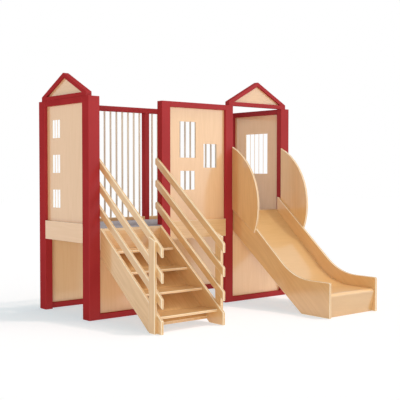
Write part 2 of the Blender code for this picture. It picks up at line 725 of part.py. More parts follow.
def slide_side_outline():
    """Side board: sloping top that bends into a level toe, on a flat foot."""
    tail = PANEL_RECESS - SIDE_TAIL_GAP
    under = DECK_HEIGHT - SIDE_UNDER_BELOW_DECK
    under_slope = under / (SLIDE_REACH - SIDE_FOOT_LENGTH)
    bend = SIDE_TOE_LENGTH - SLIDE_REACH
    top_slope = (SIDE_TOE_HEIGHT - SIDE_TOP) / bend
    return rounded(
        [
            (tail, under + under_slope * tail, 0),
            (tail, SIDE_TOP + top_slope * tail, SIDE_CORNER_RADIUS / 2),
            (bend, SIDE_TOE_HEIGHT, SIDE_BEND_RADIUS),
            (-SLIDE_REACH, SIDE_TOE_HEIGHT, SIDE_CORNER_RADIUS),
            (-SLIDE_REACH, 0, 0),
            (-SLIDE_REACH + SIDE_FOOT_LENGTH, 0, 0),
        ]
    )


def offset_corner(corner, before, after, distance):
    """The corner of the line that runs this far below a bent line."""
    def normal(a, b):
        along = (Vector(b) - Vector(a)).normalized()
        return Vector((-along.y, along.x))

    first = normal(before, corner)
    second = normal(corner, after)
    return Vector(corner) + (first + second) * distance / (1 + first.dot(second))


def slide_bed_outline():
    """The bed as one bent sheet: slope, bend, level toe, rounded lip and apron down to the floor."""
    head = PANEL_BACK - SIDE_TAIL_GAP
    lip = BED_LIP_SETBACK - SLIDE_REACH
    bend = lip + BED_TOE_LENGTH
    slope = (BED_HEAD - BED_TOE_HEIGHT) / (head - bend)
    top = [
        (head, BED_HEAD),
        (bend, BED_TOE_HEIGHT),
        (lip, BED_TOE_HEIGHT),
        (-SLIDE_REACH + APRON_SETBACK, 0),
    ]
    under_head = (head, BED_HEAD - BED_THICKNESS * hypot(1, slope))
    under_bend = offset_corner(top[1], top[0], top[2], BED_THICKNESS)
    under_lip = offset_corner(top[2], top[1], top[3], BED_THICKNESS)
    apron = (Vector(top[3]) - Vector(top[2])).normalized()
    under_apron = (top[3][0] + BED_THICKNESS / abs(apron.y), 0)
    return rounded(
        [
            (*top[0], 0),
            (*top[1], BED_BEND_RADIUS),
            (*top[2], BED_LIP_RADIUS),
            (*top[3], 0),
            (*under_apron, 0),
            (*under_lip, BED_LIP_RADIUS - BED_THICKNESS),
            (*under_bend, BED_BEND_RADIUS + BED_THICKNESS),
            (*under_head, 0),
        ]
    )


def wing_outline():
    """Guard at the slide's head: a rounded front edge from the post down to a tip on the side board."""
    top = Vector((-GAP, DECK_HEIGHT + WING_TOP_ABOVE_DECK))
    tip = Vector((-WING_REACH, DECK_HEIGHT - WING_TIP_BELOW_DECK))
    chord = tip - top
    aside = Vector((-chord.y, chord.x)).normalized()
    bulge = sqrt(WING_RADIUS**2 - (chord.length / 2) ** 2)
    centre = (top + tip) / 2 + aside * bulge
    start = atan2(top.y - centre.y, top.x - centre.x)
    end = atan2(tip.y - centre.y, tip.x - centre.x) + 2 * pi
    steps = ceil((end - start) / ARC_STEP)
    turns = [start + (end - start) * step / steps for step in range(steps + 1)]
    arc = [(centre.x + WING_RADIUS * cos(turn), centre.y + WING_RADIUS * sin(turn)) for turn in turns]
    return [*arc, (-GAP, SIDE_TOP - WING_LAP_AT_POST)]


def make_slide():
    """Side boards between the tower posts, the bed between them and the wings outside them."""
    left = TOWER_LEFT + SLIDE_FIT
    right = TOWER_RIGHT - SLIDE_FIT
    side = slide_side_outline()
    board("slide_side_left", side, "YZ", left, SIDE_THICKNESS, BOARD_WOOD)
    board("slide_side_right", side, "YZ", right - SIDE_THICKNESS, SIDE_THICKNESS, BOARD_WOOD)
    bed = between(left + SIDE_THICKNESS, right - SIDE_THICKNESS)
    board("slide_bed", slide_bed_outline(), "YZ", bed[0], bed[1] - bed[0], BOARD_WOOD)
    wing = wing_outline()
    board("slide_wing_left", wing, "YZ", left - GAP - WING_THICKNESS, WING_THICKNESS, BOARD_WOOD)
    board("slide_wing_right", wing, "YZ", right + GAP, WING_THICKNESS, BOARD_WOOD)


def main():
    posts = make_posts()
    make_left_wall(posts)
    make_mid_wall(posts)
    make_stair_bay(posts)
    make_tower(posts)
    make_end_wall(posts)
    make_back_wall(posts)
    make_deck()
    make_stair()
    make_slide()


main()
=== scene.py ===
# %% [markdown]
# # An indoor play castle
#
# The real castle is a red timber frame with walls of pale plywood. Inside is a carpeted deck, about as
# high as a kitchen worktop, with a stair on the left and a wooden slide on the right. This lesson dresses
# the measured model of it: every board gets softened edges and a finish, and the round spindles are made
# anew. The measured model is loaded as a fixed frame, so a piece goes where the frame says.

import json
from math import radians

import bmesh
import bpy
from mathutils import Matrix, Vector

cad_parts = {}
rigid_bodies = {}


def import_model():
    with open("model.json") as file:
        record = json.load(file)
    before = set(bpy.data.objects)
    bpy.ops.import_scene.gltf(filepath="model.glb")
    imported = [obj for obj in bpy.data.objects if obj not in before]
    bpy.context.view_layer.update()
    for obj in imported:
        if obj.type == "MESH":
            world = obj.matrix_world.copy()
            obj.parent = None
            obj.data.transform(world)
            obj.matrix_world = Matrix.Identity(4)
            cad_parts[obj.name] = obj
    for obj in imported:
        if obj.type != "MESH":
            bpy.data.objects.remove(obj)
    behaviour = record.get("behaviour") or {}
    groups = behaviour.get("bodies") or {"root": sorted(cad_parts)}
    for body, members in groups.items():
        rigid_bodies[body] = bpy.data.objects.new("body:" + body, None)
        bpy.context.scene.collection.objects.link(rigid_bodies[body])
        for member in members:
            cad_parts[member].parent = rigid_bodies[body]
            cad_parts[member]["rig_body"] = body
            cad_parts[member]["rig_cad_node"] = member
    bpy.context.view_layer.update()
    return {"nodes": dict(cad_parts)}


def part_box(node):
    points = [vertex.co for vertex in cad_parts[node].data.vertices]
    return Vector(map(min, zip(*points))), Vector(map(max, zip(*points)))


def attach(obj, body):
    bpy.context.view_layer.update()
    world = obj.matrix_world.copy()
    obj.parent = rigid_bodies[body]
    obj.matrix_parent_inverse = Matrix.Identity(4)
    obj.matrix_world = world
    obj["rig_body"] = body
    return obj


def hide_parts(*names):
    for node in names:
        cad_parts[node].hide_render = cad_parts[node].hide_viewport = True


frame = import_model()
parts = frame["nodes"]
print("pieces in the model:", len(parts))

# %% [markdown]
# ## The camera
#
# The photograph was taken from the front left, a little above the middle of the castle, with a long
# lens. A long lens keeps upright posts nearly parallel. The camera stands between eight and nine metres
# away and looks slightly down. The lens is set as a focal length in millimetres.

# %% Camera
CAMERA_PLACE = (-5.5502, -6.5154, 1.4507)
CAMERA_DOWN = 1.9371
CAMERA_RIGHT = 39.5956
FOCAL_LENGTH = 72.67
SENSOR_WIDTH = 36
FARTHEST_SEEN = 60

bpy.ops.object.select_all(action="DESELECT")
turn = (radians(90 - CAMERA_DOWN), 0, radians(-CAMERA_RIGHT))
bpy.ops.object.camera_add(location=CAMERA_PLACE, rotation=turn)
camera = bpy.context.active_object
camera.name = "camera_front_left"
camera.data.sensor_width = SENSOR_WIDTH
camera.data.lens = FOCAL_LENGTH
camera.data.clip_end = FARTHEST_SEEN
bpy.context.scene.camera = camera
bpy.context.scene.view_settings.view_transform = "Standard"
print("camera at", CAMERA_PLACE)

# %% [markdown]
# ## Adding nodes
#
# Every finish here is a small network of nodes. By hand, each node is dragged into place and wired. In a
# script the same takes two helpers: one fills in a node's inputs, either with a number or with a wire
# from another node, and the other adds a new node and fills it in.

# %% Helpers: add and fill a node


def fill(tree, node, **inputs):
    """Sets inputs, named with _ for a space or numbered n0, n1; a value is set and an output is wired."""
    for name, value in inputs.items():
        socket = node.inputs[int(name[1:])] if name[1:].isdigit() else node.inputs[name.replace("_", " ")]
        if isinstance(value, bpy.types.NodeSocket):
            tree.links.new(value, socket)
        else:
            socket.default_value = value


def put(tree, kind, settings=None, **inputs):
    """Adds a node with these settings and inputs."""
    node = tree.nodes.new(kind)
    for name, value in (settings or {}).items():
        setattr(node, name, value)
    fill(tree, node, **inputs)
    return node


print("helpers ready: fill, put")

# %% [markdown]
# ## Patterns from nodes
#
# Real surfaces are never quite even. Noise gives that unevenness. It is stretched where a pattern is long,
# moved to the range that is wanted, and used to mix two colours or to raise the surface a little.

# %% Helpers: patterns


def calculate(tree, operation, first, second=0.0, clamp=False):
    """One Math node; returns its output."""
    settings = {"operation": operation, "use_clamp": clamp}
    return put(tree, "ShaderNodeMath", settings, n0=first, n1=second).outputs[0]


def blend_colours(tree, amount, first, second):
    """From the first colour at 0 to the second at 1."""
    return put(tree, "ShaderNodeMix", {"data_type": "RGBA"}, n0=amount, n6=first, n7=second).outputs[2]


def stretch(tree, vector, amounts):
    """The same place with each direction multiplied by its own amount."""
    return put(tree, "ShaderNodeVectorMath", {"operation": "MULTIPLY"}, n0=vector, n1=amounts).outputs[0]


def noise(tree, vector, scale, detail, distortion=0.0):
    """Noise from 0 to 1 at this place."""
    look = {"Scale": scale, "Detail": detail, "Roughness": 0.6, "Distortion": distortion}
    return put(tree, "ShaderNodeTexNoise", Vector=vector, **look).outputs["Fac"]


def spread(tree, value, low, high, start=0.0, end=1.0):
    """Moves a value from one range to another and keeps it inside."""
    ranges = {"From_Min": low, "From_Max": high, "To_Min": start, "To_Max": end}
    return put(tree, "ShaderNodeMapRange", Value=value, **ranges).outputs[0]


def emboss(tree, surface, height, strength, distance=0.0003):
    """Raises the surface of a material by a pattern; distance is how high, in metres."""
    bump = put(tree, "ShaderNodeBump", Height=height, Strength=strength, Distance=distance)
    fill(tree, surface, Normal=bump.outputs["Normal"])


print("helpers ready: calculate, blend_colours, stretch, noise, spread, emboss")

# %% [markdown]
# ## Materials and what pieces carry
#
# A material starts empty, with one shader that stands for the surface. Each piece carries two attributes
# of its own, which its material can read: `grain` says where along and across the board a point lies, and
# `edge` marks its rounded faces, which get a painted highlight and on red paint also wear; on the slide bed
# it holds painted light.

# %% Helpers: materials


def new_material(name):
    """An empty material; returns it, its tree and its Principled shader."""
    material = bpy.data.materials.new(name)
    material.use_nodes = True
    return material, material.node_tree, material.node_tree.nodes["Principled BSDF"]


def grain_place(tree):
    """Where a point lies along, across and through its board."""
    return put(tree, "ShaderNodeAttribute", {"attribute_name": "grain"}).outputs["Vector"]


def edge_mark(tree):
    """One on a rounded edge, which gets a painted highlight; along the slide bed, its painted light."""
    return put(tree, "ShaderNodeAttribute", {"attribute_name": "edge"}).outputs["Fac"]


def object_place(tree):
    """Where a point lies in the castle, in metres."""
    return put(tree, "ShaderNodeTexCoord").outputs["Object"]


print("helpers ready: new_material, grain_place, edge_mark, object_place")

# %% [markdown]
# ## Floor and background
#
# The castle stands in a white studio. The floor is one large sheet with a little glow, so that it looks
# white and still shows the soft grey shadow of the castle. Red paint and wood throw a warm light on the
# floor. To keep the shadow grey, the floor that is seen has a warmer colour and a bluer glow than the
# floor that lights the castle. In the same way the world is seen white, also in reflections, while it
# lights the castle more softly.

# %% Floor and world
FLOOR_SIZE = 60
FLOOR_BELOW = 0.001
FLOOR_WHITE = (0.77, 0.80, 0.815, 1)
FLOOR_GLOW = (0.37, 0.37, 0.37, 1)
SEEN_WHITE = (0.746, 0.579, 0.528, 1)
SEEN_GLOW = (0.365, 0.507, 0.552, 1)
SURROUND_LIGHT = 0.36


def seen_directly(tree):
    """One for rays from the camera, also after a reflection or through glass; zero for light on objects."""
    path = put(tree, "ShaderNodeLightPath")
    seen = calculate(tree, "ADD", path.outputs["Is Camera Ray"], path.outputs["Is Glossy Ray"], clamp=True)
    return calculate(tree, "ADD", seen, path.outputs["Is Transmission Ray"], clamp=True)


bpy.ops.object.select_all(action="DESELECT")
bpy.ops.mesh.primitive_plane_add(size=FLOOR_SIZE, location=(0, 0, -FLOOR_BELOW))
floor = bpy.context.active_object
floor.name = "studio_floor"
floor_material, tree, surface = new_material("studio floor")
seen = seen_directly(tree)
speckle = noise(tree, object_place(tree), 3.0, 2.0)
fill(
    tree,
    surface,
    Base_Color=blend_colours(tree, seen, FLOOR_WHITE, SEEN_WHITE),
    Roughness=spread(tree, speckle, 0.3, 0.7, 0.86, 0.94),
    Specular_IOR_Level=0.0,
    Emission_Color=blend_colours(tree, seen, FLOOR_GLOW, SEEN_GLOW),
    Emission_Strength=1.0,
)
floor.data.materials.append(floor_material)

world = bpy.data.worlds.new("white studio")
world.use_nodes = True
bpy.context.scene.world = world
tree = world.node_tree
strength = spread(tree, seen_directly(tree), 0, 1, SURROUND_LIGHT, 1.0)
fill(tree, tree.nodes["Background"], Color=(1, 1, 1, 1), Strength=strength)
print("floor and world ready")

# %% [markdown]
# ## Lamps
#
# The shadows in the photograph run side by side, as from a lamp that is far away, so all the lamps are
# suns. The main one stands high on the right, a little to the front. Its direction was worked out from
# the shadow on the floor: the top rail at the back, 2.2 m up, throws a thin line 0.58 m behind the
# castle. Half of its light comes from a wide halo round it, so that a shadow is crisp near its edge and
# soft farther out. A lamp behind the camera fills the rooms under and on the deck. These don't show in
# the lacquer. A large soft light on the right does: the front panels mirror it as a pale sheen.

# %% Lamps
FROM_HIGH_RIGHT = (-0.319, 0.264, -1.0)
FROM_CAMERA = (0.637, 0.770, -0.05)
FROM_RIGHT = (-0.66, 0.75, -0.22)


def distant_lamp(name, direction, power, softness, mirrored=False):
    """A lamp so far away that its light comes from one direction; softness is its width in degrees."""
    bpy.ops.object.select_all(action="DESELECT")
    bpy.ops.object.light_add(type="SUN", location=(0, 0, 4))
    lamp = bpy.context.active_object
    lamp.name = name
    lamp.rotation_euler = Vector(direction).to_track_quat("-Z", "Y").to_euler()
    lamp.data.energy = power
    lamp.data.angle = radians(softness)
    lamp.visible_glossy = mirrored
    return lamp


lamps = [
    distant_lamp("top_lamp", FROM_HIGH_RIGHT, power=0.75, softness=4),
    distant_lamp("top_halo", FROM_HIGH_RIGHT, power=0.75, softness=45),
    distant_lamp("front_lamp", FROM_CAMERA, power=1.20, softness=20),
    distant_lamp("side_lamp", FROM_RIGHT, power=0.45, softness=60, mirrored=True),
]
print("lamps:", [lamp.name for lamp in lamps])

# %% [markdown]
# ## Wood grain
#
# A board is a slice of a tree. Along the board the fibres are long, across it they are very fine. So the
# grain is noise that is stretched: slow along the board, fast across it. A picture of wood would repeat
# from board to board, and nodes don't. The group below turns the grain coordinates into growth rings,
# fibres and the short dark flecks of beech, and it makes every board a little lighter or darker than its
# neighbours. All the woods share it.

# %% Grain group
GRAIN_INPUTS = (
    ("Place", "Vector", (0, 0, 0)),
    ("Light Wood", "Color", (0.8, 0.6, 0.4, 1)),
    ("Dark Wood", "Color", (0.6, 0.4, 0.2, 1)),
    ("Ring Strength", "Float", 0.4),
    ("Fleck Strength", "Float", 0.2),
    ("Tone", "Float", 0.3),
)
GRAIN_OUTPUTS = (("Color", "Color"), ("Fibre", "Float"), ("Height", "Float"))
RING_STRETCH = (0.55, 7.0, 7.0)
RING_COUNT = 9.0
FIBRE_STRETCH = (5.0, 190.0, 190.0)
FIBRE_DARK = 0.35
FLECK_STRETCH = (42.0, 640.0, 640.0)
FLECK_DEPTH = 0.6

grain_group = bpy.data.node_groups.new("wood grain", "ShaderNodeTree")
for label, kind, value in GRAIN_INPUTS:
    socket = grain_group.interface.new_socket(label, in_out="INPUT", socket_type=f"NodeSocket{kind}")
    socket.default_value = value
for label, kind in GRAIN_OUTPUTS:
    grain_group.interface.new_socket(label, in_out="OUTPUT", socket_type=f"NodeSocket{kind}")
tree = grain_group
given = put(tree, "NodeGroupInput")
place = given.outputs["Place"]
figure = noise(tree, stretch(tree, place, RING_STRETCH), 1.0, 2.0, 0.35)
rings = calculate(tree, "PINGPONG", calculate(tree, "MULTIPLY", figure, RING_COUNT), 0.5)
rings = calculate(tree, "MULTIPLY", rings, 2.0)
fibre = noise(tree, stretch(tree, place, FIBRE_STRETCH), 1.0, 3.0)
fleck = noise(tree, stretch(tree, place, FLECK_STRETCH), 1.0, 1.0)
fleck = spread(tree, fleck, 0.60, 0.72)
tone = noise(tree, place, 0.35, 1.0)
tone = spread(tree, tone, 0.30, 0.70, -0.5, 0.5)

rings = calculate(tree, "MULTIPLY", rings, given.outputs["Ring Strength"])
tone = calculate(tree, "MULTIPLY", tone, given.outputs["Tone"])
spots = calculate(tree, "MULTIPLY", fleck, given.outputs["Fleck Strength"])
dark = calculate(tree, "ADD", rings, calculate(tree, "MULTIPLY", fibre, FIBRE_DARK))
dark = calculate(tree, "ADD", dark, tone)
dark = calculate(tree, "ADD", dark, spots, clamp=True)
colour = blend_colours(tree, dark, given.outputs["Light Wood"], given.outputs["Dark Wood"])
height = calculate(tree, "SUBTRACT", fibre, calculate(tree, "MULTIPLY", fleck, FLECK_DEPTH))
put(tree, "NodeGroupOutput", Color=colour, Fibre=fibre, Height=height)
print("group:", grain_group.name)

# %% [markdown]
# ## Lacquered wood
#
# All the wood has a clear satin lacquer: a thin, even coat over a surface that is a little rough with
# fibres. Where the attribute `edge` marks a surface, the wood is painted paler: on rounded edges as a
# painted highlight, and on the lower half of the slide as painted light. One function makes every wood,
# since they differ only in colour and in how strong each mark is.

# %% Lacquered wood
# A painted highlight for rounded wooden edges.
EDGE_HIGHLIGHT = (0.93, 0.75, 0.48)
# Painted light for the lower half of the slide bed.
BED_PAINTED_LIGHT = (0.91, 0.55, 0.235)
LACQUER_ROUGHNESS = 0.14
LACQUER_IOR = 1.9


def lacquered_wood(
    name, light, dark, ring=0.40, fleck=0.25, tone=0.30, gloss=0.42, paler=0.9, painted_light=EDGE_HIGHLIGHT, coat=1.0
):
    """Clear satin lacquer over a board; paler says how much of the painted light colour its marked parts
    show.
    """
    material, tree, surface = new_material(name)
    wood = put(
        tree,
        "ShaderNodeGroup",
        {"node_tree": grain_group},
        Place=grain_place(tree),
        Light_Wood=(*light, 1),
        Dark_Wood=(*dark, 1),
        Ring_Strength=ring,
        Fleck_Strength=fleck,
        Tone=tone,
    )
    # Marked parts take the painted light colour: a highlight on edges, painted light on the slide bed.
    amount = calculate(tree, "MULTIPLY", edge_mark(tree), paler)
    fill(
        tree,
        surface,
        Base_Color=blend_colours(tree, amount, wood.outputs["Color"], (*painted_light, 1)),
        Roughness=spread(tree, wood.outputs["Fibre"], 0.3, 0.7, gloss - 0.05, gloss + 0.07),
        Specular_IOR_Level=0.6,
        Coat_Weight=coat,
        Coat_Roughness=LACQUER_ROUGHNESS,
        Coat_IOR=LACQUER_IOR,
    )
    emboss(tree, surface, wood.outputs["Height"], 0.35)
    return material


print("helper ready: lacquered_wood")

# %% [markdown]
# ## Plywoods and boards
#
# The castle has pale plywood in its walls, light boards in the stair and warmer boards in the slide. In
# the photograph no two sheets or boards have quite the same tone, partly from the wood and partly from
# the light, so each kind comes in a few. Plywood is cut round the trunk, so its rings are faint and it
# shows few flecks.

# %% The woods
PLY = {"ring": 0.35, "fleck": 0.08, "gloss": 0.46}
EVEN_PLY = {**PLY, "tone": 0.20}
STAIR = {"coat": 0.75}
SLIDE = {"gloss": 0.34}
BED = {**SLIDE, "paler": 1.0, "painted_light": BED_PAINTED_LIGHT, "coat": 0.6}

PANEL_PLY = lacquered_wood("lacquered panel ply", (0.83, 0.505, 0.255), (0.74, 0.43, 0.195), **PLY)
GABLE_PLY = lacquered_wood("lacquered gable ply", (0.79, 0.48, 0.24), (0.70, 0.41, 0.185), **EVEN_PLY)
# The lower, back and end plywoods are paler copies of the panel ply: painted light, for more light in those
# places than these lamps give.
LOWER_PLY = lacquered_wood("lacquered lower ply", (0.93, 0.610, 0.320), (0.84, 0.52, 0.25), **EVEN_PLY)
BACK_PLY = lacquered_wood("lacquered back ply", (0.95, 0.68, 0.37), (0.88, 0.59, 0.30), **EVEN_PLY)
END_PLY = lacquered_wood("lacquered end ply", (0.86, 0.53, 0.275), (0.77, 0.455, 0.215), **EVEN_PLY)

STAIR_LIGHT = (0.81, 0.505, 0.225)
STAIR_DARK = (0.63, 0.350, 0.125)
STAIR_BOARD = lacquered_wood("lacquered stair board", STAIR_LIGHT, STAIR_DARK, tone=0.40, **STAIR)
# The treads have a paler copy of the stair board: painted light, for more light from above than these lamps
# give.
TREAD_BOARD = lacquered_wood("lacquered tread board", (0.88, 0.555, 0.255), (0.70, 0.395, 0.150), **STAIR)
DOWEL = lacquered_wood("lacquered dowel", (0.81, 0.69, 0.53), (0.71, 0.59, 0.43), ring=0.30, fleck=0.20)

SLIDE_BOARD = lacquered_wood("lacquered slide board", (0.76, 0.445, 0.170), (0.63, 0.345, 0.115), **SLIDE)
# A paler copy of the slide board for the right side: painted light.
SLIDE_FAR = lacquered_wood("lacquered slide board far", (0.83, 0.50, 0.210), (0.71, 0.405, 0.150), **SLIDE)
SLIDE_BED = lacquered_wood("lacquered slide bed", (0.70, 0.42, 0.170), (0.60, 0.345, 0.120), **BED)
APRON_LIGHT = (0.73, 0.43, 0.165)
APRON_DARK = (0.60, 0.330, 0.110)
SLIDE_APRON = lacquered_wood("lacquered slide apron", APRON_LIGHT, APRON_DARK, paler=0.0, **SLIDE)
print("plywoods:", PANEL_PLY.name, GABLE_PLY.name, LOWER_PLY.name, BACK_PLY.name, END_PLY.name)
print("stair:", STAIR_BOARD.name, TREAD_BOARD.name, DOWEL.name)
print("slide:", SLIDE_BOARD.name, SLIDE_FAR.name, SLIDE_BED.name, SLIDE_APRON.name)

# %% [markdown]
# ## Cut edges of plywood
#
# Where plywood is cut, as in the windows and round the gables' infills, its glued layers show as thin
# stripes, light and dark by turns. The stripes follow the third grain coordinate, the one that runs
# through the board, so they need no modelling.

# %% Plywood edge
LAYER = 0.0015
LAYER_LIGHT = (0.88, 0.68, 0.44, 1)
LAYER_DARK = (0.68, 0.46, 0.25, 1)
SAWN_FIBRE = (0.90, 0.72, 0.48, 1)

PLY_EDGE, tree, surface = new_material("cut ply edge")
place = grain_place(tree)
axes = put(tree, "ShaderNodeSeparateXYZ", Vector=place)
layer = calculate(tree, "PINGPONG", axes.outputs["Z"], LAYER)
stripe = spread(tree, layer, LAYER * 0.35, LAYER * 0.65)
grit = noise(tree, place, 260.0, 3.0)
layers = blend_colours(tree, stripe, LAYER_LIGHT, LAYER_DARK)
colour = blend_colours(tree, spread(tree, grit, 0.35, 0.65, 0.0, 0.35), layers, SAWN_FIBRE)
fill(tree, surface, Base_Color=colour, Roughness=spread(tree, grit, 0.3, 0.7, 0.50, 0.66))
emboss(tree, surface, grit, 0.3)
print("edge:", PLY_EDGE.name)

# %% [markdown]
# ## Red paint
#
# The frame is timber under satin red paint. Paint hides the colour of the wood but not its surface: the
# fibres show faintly through it, and the brush leaves long soft marks. On the rounded edges the paint is
# thinner in patches, and its lighter red there is partly that wear and partly a painted highlight. The
# sheen is made as a thin coat. Seen at a flat angle, brush marks and fibres break it up, so it fades there
# and the tops of the gables stay deep red.

# %% Red paint
PAINT = (0.390, 0.0270, 0.0290, 1)
PAINT_DEEP = (0.345, 0.0225, 0.0240, 1)
PAINT_EDGE = (0.480, 0.032, 0.035, 1)
BRUSH_STRETCH = (3.0, 75.0, 75.0)

RED_PAINT, tree, surface = new_material("satin red paint")
place = grain_place(tree)
brush = noise(tree, stretch(tree, place, BRUSH_STRETCH), 1.0, 3.0)
patch = noise(tree, place, 2.2, 2.0)
fine = noise(tree, place, 520.0, 2.0)
colour = blend_colours(tree, spread(tree, patch, 0.35, 0.65), PAINT, PAINT_DEEP)
colour = blend_colours(tree, spread(tree, brush, 0.45, 0.75, 0.0, 0.35), colour, PAINT_DEEP)
# Rounded edges take the lighter red: partly worn paint, partly a painted highlight.
wear_and_highlight = calculate(tree, "MULTIPLY", edge_mark(tree), spread(tree, patch, 0.3, 0.7, 0.25, 0.8))
facing = put(tree, "ShaderNodeLayerWeight", Blend=0.5).outputs["Facing"]
fill(
    tree,
    surface,
    Base_Color=blend_colours(tree, wear_and_highlight, colour, PAINT_EDGE),
    Roughness=spread(tree, brush, 0.3, 0.7, 0.24, 0.34),
    Specular_IOR_Level=0.0,
    Coat_Weight=spread(tree, facing, 0.25, 0.45, 1.0, 0.1),
    Coat_Roughness=0.28,
    Coat_IOR=1.27,
)
marks = calculate(tree, "ADD", brush, calculate(tree, "MULTIPLY", fine, 0.4))
emboss(tree, surface, marks, 0.30)
print("paint:", RED_PAINT.name)

# %% [markdown]
# ## Carpet
#
# The deck has a low grey carpet. Each tuft is a few millimetres wide and a little lighter or darker than
# the next. Modelled tufts would be many thousands on a sheet that is seen from some metres away, so a
# pattern of cells makes them, and the same cells raise the surface, so that light breaks up on it.

# %% Carpet
TUFT_LIGHT = (0.58, 0.577, 0.632, 1)
TUFT_DARK = (0.275, 0.273, 0.300, 1)
PATCH_LIGHT = (0.61, 0.607, 0.656, 1)
HAIR_DARK = (0.348, 0.352, 0.384, 1)

CARPET, tree, surface = new_material("grey carpet")
place = object_place(tree)
tufts = put(tree, "ShaderNodeTexVoronoi", Vector=place, Scale=330.0, Randomness=1.0).outputs["Distance"]
shade = noise(tree, place, 2.5, 3.0)
hair = noise(tree, place, 1500.0, 2.0)
colour = blend_colours(tree, spread(tree, tufts, 0.1, 0.7), TUFT_LIGHT, TUFT_DARK)
colour = blend_colours(tree, spread(tree, shade, 0.35, 0.65, 0.0, 0.25), colour, PATCH_LIGHT)
colour = blend_colours(tree, spread(tree, hair, 0.35, 0.65, 0.0, 0.3), colour, HAIR_DARK)
fill(
    tree,
    surface,
    Base_Color=colour,
    Roughness=0.96,
    Specular_IOR_Level=0.15,
    Sheen_Weight=0.25,
    Sheen_Roughness=0.5,
)
pile = calculate(tree, "ADD", calculate(tree, "MULTIPLY", tufts, -1.0), hair)
emboss(tree, surface, pile, 0.7, distance=0.002)
print("carpet:", CARPET.name)

# %% [markdown]
# ## Grain coordinates
#
# On real wood the grain runs along each board, whichever way the board lies. So every board gets its own
# coordinates: metres along, across and through it. A shift of its own makes each board a different piece
# of wood. An attribute holds them, because the castle's own coordinates would run straight through
# sloping boards.

# %% Helper: grain coordinates
ALONG_X = Vector((1, 0, 0))
ALONG_Y = Vector((0, 1, 0))
UPRIGHT = Vector((0, 0, 1))
OFF_GRAIN = 0.2
BOARD_SHIFTS = ((1.37, 7), (0.73, 5), (0.019, 0.3))
made = []


def corners(places):
    """The lowest and the highest corner of the box round these places."""
    low = Vector([min(place[axis] for place in places) for axis in range(3)])
    high = Vector([max(place[axis] for place in places) for axis in range(3)])
    return low, high


def add_grain(piece, along):
    """Writes the grain coordinates: metres along, across and through the board."""
    places = [vert.co.copy() for vert in piece.data.vertices]
    low, high = corners(places)
    free = [axis for axis in range(3) if abs(along[axis]) < OFF_GRAIN]
    thin = min(free, key=lambda axis: high[axis] - low[axis])
    through = Vector([1.0 if axis == thin else 0.0 for axis in range(3)])
    across = through.cross(along).normalized()
    number = len(made) + 1
    shift = Vector([number * step % limit for step, limit in BOARD_SHIFTS])
    grain = piece.data.attributes.new("grain", "FLOAT_VECTOR", "POINT")
    for value, place in zip(grain.data, places):
        value.vector = Vector((place.dot(along), place.dot(across), (place - low).dot(through))) + shift


print("helpers ready: corners, add_grain")

# %% [markdown]
# ## Softened edges
#
# In a workshop a router or sandpaper softens the edges of a board. Here a bevel does. A measured piece is
# a mesh of loose triangles, so in edit mode its doubles are merged and its flat faces joined first. Then
# the sharp edges that point outwards are selected and bevelled. Where a board has grooves, only the edges
# of its own box are bevelled, and the grooves stay sharp.

# %% Helpers: select, round and smooth
MERGE_DISTANCE = 0.00001
SAME_PLANE = 0.0002
FLAT = radians(0.5)
SHARP = radians(35)
SMOOTH_BELOW = radians(50)


def make_active(piece):
    """Selects this piece alone, so that operators act on it."""
    bpy.ops.object.select_all(action="DESELECT")
    piece.select_set(True)
    bpy.context.view_layer.objects.active = piece


def on_outer_edge(edge, low, high):
    """True where an edge lies on two sides of the piece's own box."""
    sides = 0
    for axis in range(3):
        for limit in (low[axis], high[axis]):
            if all(abs(vert.co[axis] - limit) < SAME_PLANE for vert in edge.verts):
                sides += 1
    return sides >= 2


def round_edges(board, rounding, outer_only):
    """Bevels the sharp edges of the active board; the new faces get its second material."""
    bpy.ops.object.mode_set(mode="EDIT")
    bpy.ops.mesh.select_all(action="SELECT")
    bpy.ops.mesh.remove_doubles(threshold=MERGE_DISTANCE)
    bpy.ops.mesh.dissolve_limited(angle_limit=FLAT)
    bpy.ops.mesh.select_mode(type="EDGE")
    bpy.ops.mesh.select_all(action="DESELECT")
    shape = bmesh.from_edit_mesh(board.data)
    low, high = corners([vert.co for vert in shape.verts])
    for edge in shape.edges:
        sharp = edge.is_manifold and edge.is_convex and edge.calc_face_angle() > SHARP
        edge.select_set(sharp and (not outer_only or on_outer_edge(edge, low, high)))
    bmesh.update_edit_mesh(board.data)
    bpy.ops.mesh.bevel(offset=rounding, segments=3, profile=0.5, clamp_overlap=True, material=1)
    bpy.ops.object.mode_set(mode="OBJECT")


def smooth(piece):
    """Smooth shading over the rounded edges of the active piece, while flat faces stay flat."""
    bpy.ops.object.shade_smooth_by_angle(angle=SMOOTH_BELOW)
    weighted = piece.modifiers.new("flat faces", "WEIGHTED_NORMAL")
    weighted.weight = 100
    weighted.keep_sharp = True
    bpy.ops.object.modifier_apply(modifier=weighted.name)


print("helpers ready: make_active, on_outer_edge, round_edges, smooth")

# %% [markdown]
# ## From a measured piece to a finished board
#
# Most pieces of the castle are boards, and all are finished alike: copied from the measured model, with
# softened edges, grain and a finish. A copy keeps the measured sizes, which a new box might miss. The
# rounded faces are marked as edges. Plywood takes a second material, for its sawn faces.

# %% Helper: finish a board
SAME_WAY = 0.9


